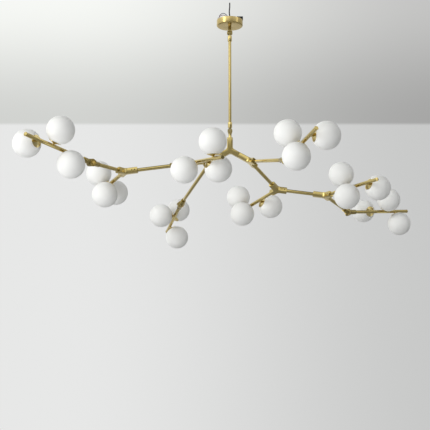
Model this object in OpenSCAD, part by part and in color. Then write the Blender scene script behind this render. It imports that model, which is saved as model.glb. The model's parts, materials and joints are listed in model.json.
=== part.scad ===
// Branch chandelier: canopy, downrod and a flat tree of Y hubs, tubes and opal globes.
// Millimetres. +Z is up, the ceiling plane is z = 0 and the downrod hangs at x = y = 0.

/* [Canopy and bracket] */
// Diameter of the canopy
canopy_d = 126; // [110:1:160]
// Depth of the canopy below the ceiling
canopy_h = 31; // [26:1:45]
// Wall of the canopy
canopy_wall = 1.6; // [1:0.1:3]
// Width of the bevel round the lower rim
canopy_bevel = 4; // [1:0.5:8]
// Length of the ceiling bracket
bracket_l = 108; // [100:1:109]
// Width of the ceiling bracket
bracket_w = 22; // [18:1:30]
// Thickness of the ceiling bracket
bracket_t = 2.5; // [1.5:0.1:4]
// Distance between the two ceiling screw holes
bracket_span = 88; // [70:1:90]
// Diameter of a ceiling screw hole
bracket_hole_d = 5.2; // [4:0.1:6]
// Outer diameter of the hollow nipple
nipple_d = 10; // [9:0.1:11]
// Wire way through the nipple
nipple_bore = 7; // [5:0.1:7.5]
// Distance across the flats of a lock nut
nut_flats = 16; // [14:0.5:18]
// Thickness of a lock nut
nut_t = 3.5; // [2.5:0.5:5]

/* [Wiring above the canopy] */
// Length of the driver box
driver_l = 30; // [24:1:32]
// Width of the driver box
driver_w = 24; // [18:1:30]
// Height of the driver box
driver_h = 17; // [12:1:22]
// Left face of the driver box from the middle
driver_x = 34; // [26:1:36]
// Side of the terminal block
terminal_s = 18; // [12:1:20]
// Diameter of one supply wire
wire_d = 3; // [2:0.1:4]

/* [Downrod] */
// Depth of the upper pivot below the ceiling
upper_pivot_drop = 63; // [60:1:70]
// Depth of the lower pivot below the ceiling
lower_pivot_drop = 551; // [400:1:800]
// Outer diameter of the downrod
downrod_d = 14; // [12:0.1:15]
// Diameter of the two downrod couplings
coupling_d = 20; // [18:0.5:24]
// Length of the two downrod couplings
coupling_l = 26; // [20:1:34]
// Distance from a downrod pivot to its coupling
pivot_neck = 16; // [14:1:20]
// Radius of the downrod fork ears
eye_r = 11.5; // [10:0.5:13]
// Overall width of the downrod forks
eye_w = 20; // [18:0.5:24]
// Thickness of the downrod tongues
eye_tongue = 8; // [6:0.5:10]

/* [Hubs] */
// Width of a hub arm
hub_w = 26; // [24:0.5:30]
// Thickness of a hub arm
hub_t = 25; // [22:0.5:28]
// Chamfer along the edges of a hub arm
hub_chamfer = 3; // [1:0.5:4]
// Length of the two outgoing hub legs
leg_l = 49; // [45:1:60]
// Length of the incoming hub stem
stem_l = 61; // [55:1:75]
// Radius of the three crotches
crotch_r = 18; // [8:1:20]
// Depth of a tube socket
socket_l = 36; // [28:1:36]
// Diameter of a grub screw
grub_d = 5; // [3:0.5:6]

/* [Tubes] */
// Outer diameter of the links and rods
tube_d = 17; // [14:0.1:18]
// Wall of the tubes
tube_wall = 1.25; // [1:0.05:2]
// Length of a globe rod beyond its hub
rod_l = 361; // [340:1:420]
// Diameter of the button that closes a rod
button_d = 18; // [17.5:0.5:22]
// Thickness of the button
button_t = 6; // [3:0.5:10]
// First globe from the rod's start
first_globe = 118; // [100:1:130]
// Distance between two globes along a rod
globe_step = 78; // [74:1:90]

/* [Elbow swivels] */
// Radius of the elbow ears
ear_r = 17; // [15:0.5:18]
// Overall width of an elbow fork
fork_w = 26; // [22:0.5:30]
// Thickness of an elbow tongue
tongue_t = 12; // [9:0.5:14]
// Diameter of the elbow necks
neck_d = 24; // [21:0.5:26]
// Diameter of the pivot pins
pin_d = 7; // [5:0.5:8]
// Diameter of a pin head
pin_head_d = 16; // [12:0.5:18]
// Thickness of a pin head
pin_head_t = 3; // [2:0.5:4]

/* [Globes] */
// Diameter of an opal globe
globe_d = 120; // [116:1:124]
// Wall of the glass
glass_wall = 2.5; // [2:0.1:4]
// Distance from the rod's axis to a globe's centre
globe_out = 74; // [73:0.5:80]
// Diameter of a globe's neck hole
neck_hole_d = 40; // [34:1:42]
// Diameter of a cup
cup_d = 54; // [50:1:60]
// Diameter of the cup's boss on the rod
boss_d = 12; // [11:0.5:12.5]
// Diameter of the spigot that enters the rod
spigot_d = 7; // [5:0.5:8]
// Diameter of a lamp holder
holder_d = 20; // [18:0.5:24]
// Height of a lamp holder above its flange
holder_h = 18; // [14:1:22]
// Diameter of a lamp
lamp_d = 16; // [12:0.5:18]
// Length of a lamp
lamp_l = 46; // [36:1:50]

/* [Layout of the branches] */
// Depth of the main hub's centre below the ceiling
main_drop = 645; // [640:1:655]
// Turn of the main hub about the downrod
main_turn = 6; // [0:1:12]
// Roll of the first right hub
roll_right_1 = 85; // [80:1:95]
// Roll of the second right hub
roll_right_2 = -92; // [-98:1:-86]
// Roll of the third right hub
roll_right_3 = 84; // [80:1:90]
// Roll of the first left hub
roll_left_1 = 92; // [86:1:98]
// Roll of the second left hub
roll_left_2 = 270; // [264:1:276]
// Roll of the third left hub
roll_left_3 = 94; // [88:1:98]
// First right hub to the front right swivel
span_front_right = 380; // [360:1:400]
// First to second right hub
span_right_2 = 290; // [270:1:310]
// Second to third right hub
span_right_3 = 240; // [220:1:260]
// Third right hub to the back right swivel
span_back_right = 280; // [260:1:300]
// First left hub to the back left swivel
span_back_left = 470; // [450:1:490]
// First to second left hub
span_left_2 = 245; // [225:1:265]
// Second to third left hub
span_left_3 = 260; // [240:1:280]
// Third left hub to the left swivel
span_left = 230; // [210:1:250]

/* [Settings of the swivels] */
// Bend of the left branch away from its link
left_bend = -6; // [-20:1:20]
// Roll of that bend about the link
left_roll = 173; // [0:1:360]
// Bend of the back left branch away from its link
back_left_bend = -8; // [-20:1:20]
// Roll of that bend about the link
back_left_roll = 239; // [0:1:360]
// Bend of the front right branch away from its link
front_right_bend = 19; // [0:1:40]
// Roll of that bend about the link
front_right_roll = 29; // [0:1:360]
// Bend of the back right branch away from its link
back_right_bend = 31; // [0:1:45]
// Roll of that bend about the link
back_right_roll = 63; // [0:1:360]

/* [Turn of the first globe about its rod] */
// Left branch
spiral_left = 212; // [-180:1:360]
// Back left branch
spiral_back_left = 269; // [-180:1:360]
// Front right branch
spiral_front_right = 33; // [-180:1:360]
// Back right branch
spiral_back_right = 281; // [-180:1:360]
// Rod on the third left hub
spiral_left_3 = -150; // [-180:1:360]
// Rod on the second left hub
spiral_left_2 = 125; // [-180:1:360]
// Rod on the second right hub
spiral_right_2 = 108; // [-180:1:360]
// Rod on the third right hub
spiral_right_3 = 17; // [-180:1:360]

/* [Hidden] */
$fn = 64;

// Radial clearance of a seated tube, of a turning pin and of a flat running face
fit = 0.1;
running = 0.06;
side_gap = 0.3;
// Room round the eye of a tongue, inside its fork
eye_room = side_gap + 0.4;
// The legs of a hub leave at 60 degrees from the stem's own direction, half a turn apart in roll
leg_bend = 60;
opposite = 180;
// Bore that carries the wires through a hub, and the hollow where the three meet
wire_way_d = 7;
wire_drum_r = wire_way_d / 2 + 3;
wire_drum_h = wire_way_d + 3;
spigot_wall = 1.2;
brass = "#b8995a";
bright_brass = "#d4b878";

tube_r = tube_d / 2;
socket_r = tube_r + fit;
seat_l = socket_l - 1;
globe_r = globe_d / 2;
glass_in = globe_r - glass_wall;
hub_step = leg_l + stem_l;
neck_l = leg_l - ear_r - side_gap - 1;

// Vectors -----------------------------------------------------------------
up = [0, 0, 1];
function unit(v) = v / norm(v);
// The part of up that is square to a direction
function upright(t) = unit(up - (up * t) * t);
// A direction bent away from t, rolled about t from the upright
function turned(t, bend, roll) = cos(bend) * t
    + sin(bend) * (cos(roll) * upright(t) + sin(roll) * cross(t, upright(t)));
// The normal of a hub that takes both t and w, on the upper side
function hub_normal(t, w) = let (n = unit(cross(t, w))) n.z < 0 ? -n : n;

// Places children with +X along t and +Y along n
module place(p, t, n) {
    b = cross(t, n);
    multmatrix([[t.x, n.x, b.x, p.x], [t.y, n.y, b.y, p.y], [t.z, n.z, b.z, p.z], [0, 0, 0, 1]]) children();
}

// Layout ------------------------------------------------------------------
across = [cos(main_turn), -sin(main_turn), 0];
main_p = [0, 0, -main_drop];
down_right = -cos(leg_bend) * up + sin(leg_bend) * across;
down_left = -cos(leg_bend) * up - sin(leg_bend) * across;

right_1 = main_p + hub_step * down_right;
to_front_right = turned(down_right, leg_bend, roll_right_1);
to_right_2 = turned(down_right, leg_bend, roll_right_1 + opposite);
front_right_p = right_1 + span_front_right * to_front_right;
right_2 = right_1 + span_right_2 * to_right_2;
rod_f = turned(to_right_2, leg_bend, roll_right_2);
to_right_3 = turned(to_right_2, leg_bend, roll_right_2 + opposite);
right_3 = right_2 + span_right_3 * to_right_3;
rod_g = turned(to_right_3, leg_bend, roll_right_3);
to_back_right = turned(to_right_3, leg_bend, roll_right_3 + opposite);
back_right_p = right_3 + span_back_right * to_back_right;

left_1 = main_p + hub_step * down_left;
to_back_left = turned(down_left, leg_bend, roll_left_1);
to_left_2 = turned(down_left, leg_bend, roll_left_1 + opposite);
back_left_p = left_1 + span_back_left * to_back_left;
left_2 = left_1 + span_left_2 * to_left_2;
rod_c = turned(to_left_2, leg_bend, roll_left_2);
to_left_3 = turned(to_left_2, leg_bend, roll_left_2 + opposite);
left_3 = left_2 + span_left_3 * to_left_3;
rod_b = turned(to_left_3, leg_bend, roll_left_3);
to_left = turned(to_left_3, leg_bend, roll_left_3 + opposite);
left_p = left_3 + span_left * to_left;

// A branch is [start, its own direction, turn of its first globe, direction of the link behind it]
left_branch = [left_p, turned(to_left, left_bend, left_roll), spiral_left, to_left];
back_left_branch = [back_left_p, turned(to_back_left, back_left_bend, back_left_roll),
    spiral_back_left, to_back_left];
front_right_branch = [front_right_p, turned(to_front_right, front_right_bend, front_right_roll),
    spiral_front_right, to_front_right];
back_right_branch = [back_right_p, turned(to_back_right, back_right_bend, back_right_roll),
    spiral_back_right, to_back_right];
fixed_branches = [[left_3, rod_b, spiral_left_3], [left_2, rod_c, spiral_left_2],
    [right_2, rod_f, spiral_right_2], [right_3, rod_g, spiral_right_3]];
swivel_branches = [left_branch, back_left_branch, front_right_branch, back_right_branch];

// Shared forms ------------------------------------------------------------
// A cylinder along +X from x0 to x1
module bar(r, x0, x1) {
    translate([x0, 0, 0])
        rotate([0, 90, 0])
            cylinder(r = r, h = x1 - x0);
}

// A cylinder along +Z from z0 to z1
module bar_up(r, z0, z1) {
    translate([0, 0, z0]) cylinder(r = r, h = z1 - z0);
}

// A hub arm: a bar of chamfered square section along +X
module arm(l) {
    w = hub_w / 2;
    t = hub_t / 2;
    c = hub_chamfer;
    rotate([90, 0, 90])
        linear_extrude(l)
            polygon([[-w, c - t], [c - w, -t], [w - c, -t], [w, c - t],
                [w, t - c], [w - c, t], [c - w, t], [-w, t - c]]);
}

// The concave web between two arms, about the +X bisector; it stops a hair short of the arms' edges
module crotch() {
    corner = hub_w / 2 / sin(leg_bend);
    reach = crotch_r / tan(leg_bend);
    middle = corner + crotch_r / sin(leg_bend);
    hair = 0.06;
    linear_extrude(hub_t - 2 * hub_chamfer - 10 * hair, center = true)
        difference() {
            polygon([[0, 0], [corner + reach * cos(leg_bend), -reach * sin(leg_bend) - hair], [middle, 0],
                [corner + reach * cos(leg_bend), reach * sin(leg_bend) + hair]]);
            translate([middle, 0]) circle(crotch_r - hair);
        }
}

// Where the grub screws sit, counted from the mouth of a socket
grub_in = [12, 25];

// A Y hub: stem along -X, legs at 60 degrees to +X, flat in XY
module y_hub() {
    color(brass)
        difference() {
            union() {
                rotate(180) arm(stem_l);
                for (side = [-1, 1]) rotate(side * leg_bend) arm(leg_l);
                for (turn = [0, 120, 240]) rotate(turn) crotch();
            }
            hub_arms() socket($arm_l);
            cylinder(r = wire_drum_r, h = wire_drum_h, center = true);
        }
}

// The three arms in turn, with their length as $arm_l
module hub_arms() {
    for (a = [[180, stem_l], [leg_bend, leg_l], [-leg_bend, leg_l]]) {
        $arm_l = a[1];
        rotate(a[0]) children();
    }
}

// What is bored out of one arm: the socket, the wire way and two tapped holes
module socket(l) {
    bar(socket_r, l - socket_l, l + 1);
    bar(wire_way_d / 2, wire_way_d / 2, l - socket_l + 1);
    for (x = grub_in)
        translate([l - x, 0, 0])
            rotate([90, 0, 0])
                cylinder(d = grub_d + 2 * running, h = hub_w);
}

// One hub's grub screws, each with a hexagon socket
module hub_grubs() {
    length = hub_w / 2 - tube_r - fit / 2 - 0.5;
    hub_arms()
        for (x = grub_in)
            translate([$arm_l - x, -tube_r - fit / 2, 0])
                rotate([90, 0, 0])
                    difference() {
                        cylinder(d = grub_d, h = length);
                        translate([0, 0, length - 1.5]) cylinder(d = grub_d / 2, h = 2, $fn = 6);
                    }
}

module hub_at(p, t, w) {
    n = hub_normal(t, w);
    place(p, t, cross(n, t)) children();
}

module at_main() { hub_at(main_p, -up, across) children(); }
module at_right_1() { hub_at(right_1, down_right, to_right_2) children(); }
module at_right_2() { hub_at(right_2, to_right_2, to_right_3) children(); }
module at_right_3() { hub_at(right_3, to_right_3, to_back_right) children(); }
module at_left_1() { hub_at(left_1, down_left, to_left_2) children(); }
module at_left_2() { hub_at(left_2, to_left_2, to_left_3) children(); }
module at_left_3() { hub_at(left_3, to_left_3, to_left) children(); }

module main_hub() { at_main() y_hub(); }
module hub_right_1() { at_right_1() y_hub(); }
module hub_right_2() { at_right_2() y_hub(); }
module hub_right_3() { at_right_3() y_hub(); }
module hub_left_1() { at_left_1() y_hub(); }
module hub_left_2() { at_left_2() y_hub(); }
module hub_left_3() { at_left_3() y_hub(); }

module grub_screws() {
    color("#4a4030") {
        at_main() hub_grubs();
        at_right_1() hub_grubs();
        at_right_2() hub_grubs();
        at_right_3() hub_grubs();
        at_left_1() hub_grubs();
        at_left_2() hub_grubs();
        at_left_3() hub_grubs();
    }
}

// Hidden tubes that join the main hub to the first hub on each side
module hub_nipples() {
    color(brass)
        for (t = [down_right, down_left])
            place(main_p, t, upright(t))
                hollow(leg_l - seat_l, leg_l + seat_l);
}

// A length of tube along +X
module hollow(x0, x1) {
    difference() {
        bar(tube_r, x0, x1);
        bar(tube_r - tube_wall, x0 - 1, x1 + 1);
    }
}

// A link from a hub leg to a stem or an elbow fork
module link(p, t, span, far) {
    place(p, t, upright(t)) hollow(leg_l - seat_l, span - far + seat_l);
}

module links_right() {
    color(brass) {
        link(right_1, to_right_2, span_right_2, stem_l);
        link(right_2, to_right_3, span_right_3, stem_l);
        elbow_link(right_1, to_front_right, span_front_right);
        elbow_link(right_3, to_back_right, span_back_right);
    }
}

module links_left() {
    color(brass) {
        link(left_1, to_left_2, span_left_2, stem_l);
        link(left_2, to_left_3, span_left_3, stem_l);
        elbow_link(left_1, to_back_left, span_back_left);
        elbow_link(left_3, to_left, span_left);
    }
}

// A link that ends in an elbow fork's socket
module elbow_link(p, t, span) {
    place(p, t, upright(t)) hollow(leg_l - seat_l, span - leg_l + elbow_socket - 1);
}

// Elbow swivels -----------------------------------------------------------
elbow_floor = 6;
elbow_socket = neck_l - elbow_floor;

// Frame of a branch's pivot: +X along t, +Z along the pin
module at_pivot(b, t) {
    pin = unit(cross(b[3], b[1]));
    place(b[0], t, cross(pin, t)) children();
}

// Fork with two ears; its neck holds the end of the link
module elbow_fork() {
    difference() {
        union() {
            bar(neck_d / 2, -leg_l, 1 - leg_l + neck_l);
            linear_extrude(fork_w, center = true) circle(ear_r);
            translate([-ear_r - 2, -ear_r * 0.75, -fork_w / 2]) cube([ear_r + 2, ear_r * 1.5, fork_w]);
        }
        bar(socket_r, -leg_l - 1, elbow_socket - leg_l);
        translate([0, 0, -tongue_t / 2 - side_gap])
            linear_extrude(tongue_t + 2 * side_gap)
                union() {
                    circle(ear_r + eye_room);
                    translate([0, -2 * ear_r]) square([2 * ear_r, 4 * ear_r]);
                }
        cylinder(d = pin_d + 2 * running, h = 2 * fork_w, center = true);
    }
}

// Tongue that turns between the ears; its neck holds the start of the rod
module elbow_tongue() {
    difference() {
        union() {
            linear_extrude(tongue_t, center = true)
                union() {
                    circle(ear_r);
                    translate([0, -ear_r * 0.7]) square([ear_r + 3, ear_r * 1.4]);
                }
            bar(neck_d / 2, leg_l - neck_l, leg_l);
        }
        bar(socket_r, leg_l - elbow_socket, leg_l + 1);
        cylinder(d = pin_d + 2 * running, h = 2 * fork_w, center = true);
    }
}

// Pin with a slotted head at each end
module elbow_pin(width) {
    difference() {
        union() {
            cylinder(d = pin_d, h = width, center = true);
            for (side = [-1, 1])
                translate([0, 0, side * (width + pin_head_t) / 2 + side * running])
                    cylinder(d = pin_head_d, h = pin_head_t, center = true);
            cylinder(d = pin_d, h = width + 2 * pin_head_t, center = true);
        }
        for (side = [-1, 1])
            translate([0, 0, side * (width / 2 + pin_head_t)])
                cube([pin_head_d + 1, 1.6, 2.4], center = true);
    }
}

module elbow_forks() {
    color(brass)
        for (b = swivel_branches) at_pivot(b, b[3]) elbow_fork();
}

module elbow_pins() {
    color(bright_brass)
        for (b = swivel_branches) at_pivot(b, b[3]) elbow_pin(fork_w);
}

// Globe branches ----------------------------------------------------------
// Stands children on the rod at its three stations, +Z outwards from the rod's axis
module stations(b) {
    place(b[0], b[1], upright(b[1]))
        for (i = [0:2])
            translate([leg_l + first_globe + i * globe_step, 0, 0])
                rotate([b[2] + 120 * i - 90, 0, 0])
                    children();
}

// A rod seated `seat` deep, closed by a button and drilled for the cup spigots
module rod(b, seat) {
    color(brass)
        difference() {
            place(b[0], b[1], upright(b[1]))
                difference() {
                    union() {
                        bar(tube_r, leg_l - seat, leg_l + rod_l);
                        bar(button_d / 2, leg_l + rod_l - button_t, leg_l + rod_l);
                    }
                    bar(tube_r - tube_wall, leg_l - seat - 1, leg_l + rod_l - button_t);
                }
            stations(b) cylinder(d = spigot_d + 2 * running, h = 2 * tube_r);
        }
}

// Where the flared cup meets the globe
cup_r = cup_d / 2;
globe_fit = 0.2;
cup_rim = 1.6;
cup_steps = 4;
horn_z = tube_r + 2;
horn_flare = 1.7;
neck_hole_r = neck_hole_d / 2;
flange_r = neck_hole_r + 2.5;
// Height over the rod's axis of a sphere of radius s about the globe's centre, at radius r
function bowl_z(s, r) = globe_out - sqrt(s * s - r * r);
cup_edge_z = bowl_z(globe_r + globe_fit, cup_r);
cup_floor_z = bowl_z(globe_r + globe_fit, neck_hole_r);
flange_z = bowl_z(glass_in, flange_r) + side_gap;

// Flared cup: saddled boss, thin dish that follows the glass, and a hollow spigot into the rod
module cup() {
    difference() {
        union() {
            difference() {
                rotate_extrude()
                    polygon(concat(
                        [[0, tube_r / 3], [boss_d / 2, tube_r / 3], [boss_d / 2, horn_z],
                            [boss_d / 2 + 2, horn_z + horn_flare], [cup_r, cup_edge_z - cup_rim]],
                        [for (i = [0:cup_steps])
                            let (r = cup_r + (neck_hole_r - cup_r) * i / cup_steps)
                            [r, bowl_z(globe_r + globe_fit, r)]],
                        [[0, cup_floor_z]]));
                bar(tube_r + fit / 2, -boss_d, boss_d);
            }
            bar_up(spigot_d / 2, tube_r - tube_wall, horn_z);
        }
        bar_up(spigot_d / 2 - spigot_wall, 0, globe_out);
    }
}

module globe() {
    translate([0, 0, globe_out])
        difference() {
            sphere(globe_r, $fn = 96);
            sphere(glass_in, $fn = 96);
            translate([0, 0, -globe_d]) cylinder(d = neck_hole_d, h = globe_d);
        }
}

// Porcelain holder: a foot in the cup, a flange inside the glass and a socket body
module holder() {
    difference() {
        union() {
            bar_up(holder_d / 2, cup_floor_z + running, lamp_z);
            bar_up(flange_r, flange_z, flange_z + 1.8);
        }
        translate([0, 0, lamp_z - holder_slot / 2])
            cube([lamp_base.x + 0.4, lamp_base.y + 0.4, holder_slot], center = true);
        bar_up(2, cup_floor_z - 1, lamp_z - holder_slot / 2);
    }
}

lamp_z = flange_z + holder_h;
// Slot in the holder, and the lamp's flat base that stands in it
holder_slot = 10;
lamp_base = [10.6, 4.6, 8];

// Capsule lamp with a flat two-pin base
module lamp() {
    glass_l = lamp_l - lamp_base.z - lamp_d / 2;
    translate([-lamp_base.x / 2, -lamp_base.y / 2, lamp_z - lamp_base.z]) cube(lamp_base + [0, 0, 0.5]);
    translate([0, 0, lamp_z + running]) cylinder(d = lamp_d, h = glass_l);
    translate([0, 0, lamp_z + running + glass_l]) sphere(d = lamp_d);
}

module branch_cups(b) { color(bright_brass) stations(b) cup(); }
module branch_globes(b) { color("#f7f3ea") stations(b) globe(); }
module branch_holders(b) { color("#e8e4da") stations(b) holder(); }
module branch_lamps(b) { color("#fff6d8") stations(b) lamp(); }
module branch_tongue(b) { color(brass) at_pivot(b, b[1]) elbow_tongue(); }

module fixed_rods() { for (b = fixed_branches) rod(b, seat_l); }
module fixed_cups() { for (b = fixed_branches) branch_cups(b); }
module fixed_globes() { for (b = fixed_branches) branch_globes(b); }
module fixed_holders() { for (b = fixed_branches) branch_holders(b); }
module fixed_lamps() { for (b = fixed_branches) branch_lamps(b); }

// Canopy ------------------------------------------------------------------
module ceiling_bracket() {
    color("#b9bcc0")
        difference() {
            translate([-bracket_l / 2, -bracket_w / 2, -bracket_t]) cube([bracket_l, bracket_w, bracket_t]);
            for (side = [-1, 1])
                translate([side * bracket_span / 2, 0, -bracket_t - 1])
                    cylinder(d = bracket_hole_d, h = bracket_t + 2);
            translate([0, 0, -bracket_t - 1]) cylinder(d = nipple_d + 2 * fit, h = bracket_t + 2);
        }
}

nipple_top = nut_t + 1;
fork_top = -canopy_h;
nipple_into_fork = 7;

module hollow_nipple() {
    color("#b9bcc0")
        translate([0, 0, fork_top - nipple_into_fork])
            difference() {
                cylinder(d = nipple_d, h = nipple_top - fork_top + nipple_into_fork);
                translate([0, 0, -1]) cylinder(d = nipple_bore, h = 2 * canopy_h + 2 * nipple_top);
            }
}

module lock_nuts() {
    color("#b9bcc0")
        for (z = [running, -bracket_t - nut_t - running, canopy_wall - canopy_h + running])
            translate([0, 0, z])
                difference() {
                    cylinder(d = nut_flats / cos(30), h = nut_t, $fn = 6);
                    translate([0, 0, -1]) cylinder(d = nipple_d + 2 * running, h = nut_t + 2);
                }
}

module canopy() {
    r = canopy_d / 2;
    w = canopy_wall;
    b = canopy_bevel;
    hole = nipple_d / 2 + fit;
    color(brass)
        rotate_extrude($fn = 96)
            polygon([[r, 0], [r, b - canopy_h], [r - b, -canopy_h], [hole, -canopy_h], [hole, w - canopy_h],
                [r - b - w * 0.4, w - canopy_h], [r - w, b + w * 0.4 - canopy_h], [r - w, 0]]);
}

module driver() {
    color("#1c1c1e")
        translate([driver_x, -driver_w / 2, running])
            cube([driver_l, driver_w, driver_h]);
}

terminal_x = -50;
terminal_h = terminal_s * 0.7;

module terminal_block() {
    color("#d9dadb")
        difference() {
            translate([terminal_x - terminal_s / 2, -terminal_s / 2, running])
                cube([terminal_s, terminal_s, terminal_h]);
            for (y = [-4, 4])
                translate([terminal_x, y, terminal_h - 4]) cylinder(d = wire_d + 0.6, h = 5);
        }
}

// Supply wires: routes in round numbers, from the nipple's mouth
blue_route = [[-4, 3, 4.6], [-4, 3, 8], [-9, 4, 20], [-18, 4, 32],
    [-30, 4, 38], [-42, 4, 34], [-50, 4, 24], [-50, 4, 9]];
pale_route = [[-4, -3, 4.6], [-4, -3, 7], [-10, -4, 15], [-22, -4, 23],
    [-36, -4, 26], [-50, -4, 18], [-50, -4, 9]];
red_route = [[5, 0, 4.6], [5, 0, 8], [9, 0, 16], [16, 0, 19], [24, 0, 15], [29, 0, 9], [33.8, 0, 9]];
feed_route = [[0, 0, 4.6], [0, 0, 20], [-2, 0, 44], [0, 0, 68], [0, 0, 90]];

// A tube of 8 sides swept along a route
module wire(route, d) {
    sides = 8;
    n = len(route);
    ring = [for (i = [0:n - 1])
        let (t = unit(route[min(i + 1, n - 1)] - route[max(i - 1, 0)]),
            a = unit(cross([0, 1, 0], t)), b = cross(t, a))
        for (k = [0:sides - 1]) route[i] + d / 2 * (cos(k * 360 / sides) * a + sin(k * 360 / sides) * b)];
    sides_faces = [for (i = [0:n - 2]) for (k = [0:sides - 1])
        [i * sides + k, i * sides + (k + 1) % sides, (i + 1) * sides + (k + 1) % sides, (i + 1) * sides + k]];
    first = [for (k = [0:sides - 1]) sides - 1 - k];
    last = [for (k = [0:sides - 1]) (n - 1) * sides + k];
    polyhedron(ring, concat(sides_faces, [first, last]));
}

module supply_wires() {
    color("#26304a") {
        wire(feed_route, 2 * wire_d);
        wire(blue_route, wire_d);
        wire(pale_route, wire_d);
        wire(red_route, wire_d);
    }
}

// Downrod -----------------------------------------------------------------
// Fork in a knuckle's own frame: ears down along -Z, pin along X, body up to z = top
module downrod_fork(top) {
    difference() {
        union() {
            rotate([0, 90, 0]) cylinder(r = eye_r, h = eye_w, center = true);
            translate([-eye_w / 2, -eye_r * 0.8, 0]) cube([eye_w, eye_r * 1.6, eye_r + 2]);
            cylinder(d = nipple_d + 5, h = top);
        }
        rotate([0, 90, 0])
            cylinder(r = eye_r + eye_room, h = eye_tongue + 2 * side_gap, center = true);
        translate([-eye_tongue / 2 - side_gap, -2 * eye_r, -2 * eye_r])
            cube([eye_tongue + 2 * side_gap, 4 * eye_r, 2 * eye_r]);
        rotate([0, 90, 0]) cylinder(d = pin_d + 2 * running, h = 2 * eye_w, center = true);
    }
}

// Tongue with a coupling that takes the downrod's end
module downrod_tongue() {
    difference() {
        union() {
            rotate([0, 90, 0]) cylinder(r = eye_r - 0.5, h = eye_tongue, center = true);
            translate([-eye_tongue / 2, -6, -pivot_neck - 1]) cube([eye_tongue, 12, pivot_neck + 1]);
            translate([0, 0, -pivot_neck - coupling_l]) cylinder(d = coupling_d, h = coupling_l);
        }
        rotate([0, 90, 0]) cylinder(d = pin_d + 2 * running, h = 2 * eye_w, center = true);
        translate([0, 0, -pivot_neck - coupling_l - 1]) cylinder(d = downrod_d + 2 * fit, h = coupling_l - 4);
    }
}

module at_upper() { translate([0, 0, -upper_pivot_drop]) children(); }
// The lower knuckle is the same pair turned over, with its pin along Y
module at_lower() { translate([0, 0, -lower_pivot_drop]) rotate([180, 0, 90]) children(); }

module upper_fork() {
    color(brass)
        difference() {
            at_upper() downrod_fork(upper_pivot_drop - canopy_h - running);
            translate([0, 0, fork_top - nipple_into_fork - 0.5])
                cylinder(d = nipple_d + 2 * fit, h = canopy_h);
        }
}

module upper_pin() { color(bright_brass) at_upper() rotate([0, 90, 0]) elbow_pin(eye_w); }
module upper_tongue() { color(brass) at_upper() downrod_tongue(); }
module lower_pin() { color(bright_brass) at_lower() rotate([0, 90, 0]) elbow_pin(eye_w); }
module lower_tongue() { color(brass) at_lower() downrod_tongue(); }

fork_seat = main_drop - stem_l - lower_pivot_drop;
// How far the downrod's ends stop short of a coupling's outer end
coupling_floor = 5.5;

module lower_fork() {
    color(brass)
        at_lower() {
            downrod_fork(fork_seat - running);
            bar_up(tube_r, fork_seat - 2, fork_seat + seat_l - 8);
        }
}

module downrod() {
    top = -upper_pivot_drop - pivot_neck - coupling_floor;
    bottom = pivot_neck + coupling_floor - lower_pivot_drop;
    color(brass)
        translate([0, 0, bottom])
            difference() {
                cylinder(d = downrod_d, h = top - bottom);
                translate([0, 0, -1]) cylinder(d = downrod_d - 2 * tube_wall, h = top - bottom + 2);
            }
}

ceiling_bracket();
hollow_nipple();
lock_nuts();
canopy();
driver();
terminal_block();
supply_wires();
upper_fork();
upper_pin();
upper_tongue();
downrod();
lower_tongue();
lower_pin();
lower_fork();
main_hub();
hub_right_1();
hub_right_2();
hub_right_3();
hub_left_1();
hub_left_2();
hub_left_3();
hub_nipples();
grub_screws();
links_right();
links_left();
elbow_forks();
elbow_pins();
fixed_rods();
fixed_cups();
fixed_globes();
fixed_holders();
fixed_lamps();
branch_tongue(left_branch);  // tongue_left
rod(left_branch, elbow_socket - 1);  // rod_left
branch_cups(left_branch);  // cups_left
branch_globes(left_branch);  // globes_left
branch_holders(left_branch);  // holders_left
branch_lamps(left_branch);  // lamps_left
branch_tongue(back_left_branch);  // tongue_back_left
rod(back_left_branch, elbow_socket - 1);  // rod_back_left
branch_cups(back_left_branch);  // cups_back_left
branch_globes(back_left_branch);  // globes_back_left
branch_holders(back_left_branch);  // holders_back_left
branch_lamps(back_left_branch);  // lamps_back_left
branch_tongue(front_right_branch);  // tongue_front_right
rod(front_right_branch, elbow_socket - 1);  // rod_front_right
branch_cups(front_right_branch);  // cups_front_right
branch_globes(front_right_branch);  // globes_front_right
branch_holders(front_right_branch);  // holders_front_right
branch_lamps(front_right_branch);  // lamps_front_right
branch_tongue(back_right_branch);  // tongue_back_right
rod(back_right_branch, elbow_socket - 1);  // rod_back_right
branch_cups(back_right_branch);  // cups_back_right
branch_globes(back_right_branch);  // globes_back_right
branch_holders(back_right_branch);  // holders_back_right
branch_lamps(back_right_branch);  // lamps_back_right
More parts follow.
